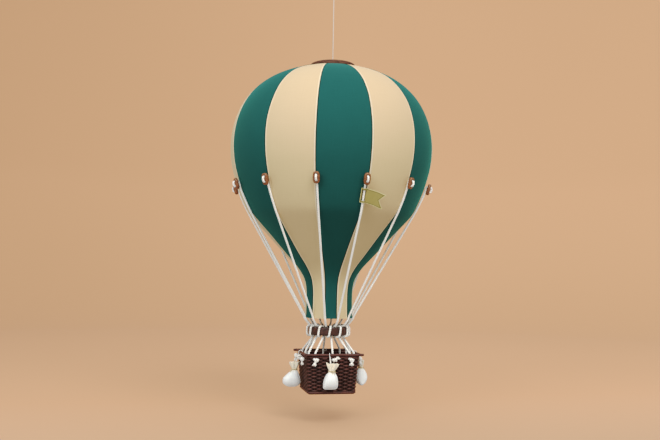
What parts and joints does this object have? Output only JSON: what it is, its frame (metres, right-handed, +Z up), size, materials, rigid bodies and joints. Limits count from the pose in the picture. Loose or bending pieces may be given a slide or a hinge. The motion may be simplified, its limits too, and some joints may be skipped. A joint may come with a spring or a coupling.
{
  "type": "hanging decorative hot air balloon",
  "caption": "Hanging decorative hot air balloon: striped cloth envelope on a hollow shell, ropes with wooden toggles, load ring, wicker basket and swinging sandbags.",
  "frame": {"origin": "the point inside the top of the hanging loop where a hook bears", "axes": "+Z up along the hanging string, -Y out of the basket's front side, +X to the right as seen from the front"},
  "size_m": [0.303, 0.3037, 0.6175],
  "materials": {
    "green_cotton": "matt canvas weave",
    "cream_cotton": "matt canvas weave",
    "shell_board": "matt pressed board",
    "walnut": "oiled dark wood with grain",
    "toggle_wood": "lacquered wood",
    "cotton_rope": "twisted cotton",
    "wicker": "stained wicker, satin",
    "bag_canvas": "fine cotton",
    "string": "twisted string",
    "pennant_cloth": "matt cloth"
  },
  "bodies": {
    "balloon": {"hanging_loop": "string", "hanging_string": "string", "crown_disc": "walnut", "shell_crown": "shell_board", "shell_shoulder": "shell_board", "shell_belly": "shell_board", "shell_flank": "shell_board", "shell_cone": "shell_board", "shell_neck": "shell_board", "load_ring": "walnut", "basket": "wicker", "basket_rim": "wicker", "pennant": "pennant_cloth", "gore_01": "green_cotton", "gore_02": "cream_cotton", "gore_03": "green_cotton", "gore_04": "cream_cotton", "gore_05": "green_cotton", "gore_06": "cream_cotton", "gore_07": "green_cotton", "gore_08": "cream_cotton", "gore_09": "green_cotton", "gore_10": "cream_cotton", "gore_11": "green_cotton", "gore_12": "cream_cotton", "toggle_01": "toggle_wood", "toggle_02": "toggle_wood", "toggle_03": "toggle_wood", "toggle_04": "toggle_wood", "toggle_05": "toggle_wood", "toggle_06": "toggle_wood", "toggle_07": "toggle_wood", "toggle_08": "toggle_wood", "toggle_09": "toggle_wood", "toggle_10": "toggle_wood", "toggle_11": "toggle_wood", "toggle_12": "toggle_wood", "rope_01": "cotton_rope", "rope_02": "cotton_rope", "rope_03": "cotton_rope", "rope_04": "cotton_rope", "rope_05": "cotton_rope", "rope_06": "cotton_rope", "rope_07": "cotton_rope", "rope_08": "cotton_rope", "rope_09": "cotton_rope", "rope_10": "cotton_rope", "rope_11": "cotton_rope", "rope_12": "cotton_rope"},
    "bag_front": {"sandbag_front": "bag_canvas", "sandbag_cord_front": "string"},
    "bag_right": {"sandbag_right": "bag_canvas", "sandbag_cord_right": "string"},
    "bag_rear": {"sandbag_rear": "bag_canvas", "sandbag_cord_rear": "string"},
    "bag_left": {"sandbag_left": "bag_canvas", "sandbag_cord_left": "string"}
  },
  "joints": [
    {"name": "sandbag_front_swing", "type": "hinge", "parent": "balloon", "child": "bag_front", "pos_m": [0, -0.04, -0.56], "axis": [-1, 0, 0], "range_deg": [0, 75]},
    {"name": "sandbag_right_swing", "type": "hinge", "parent": "balloon", "child": "bag_right", "pos_m": [0.04, 0, -0.56], "axis": [0, -1, 0], "range_deg": [0, 75]},
    {"name": "sandbag_rear_swing", "type": "hinge", "parent": "balloon", "child": "bag_rear", "pos_m": [0, 0.04, -0.56], "axis": [1, 0, 0], "range_deg": [0, 75]},
    {"name": "sandbag_left_swing", "type": "hinge", "parent": "balloon", "child": "bag_left", "pos_m": [-0.04, 0, -0.56], "axis": [0, 1, 0], "range_deg": [0, 75]}
  ]
}
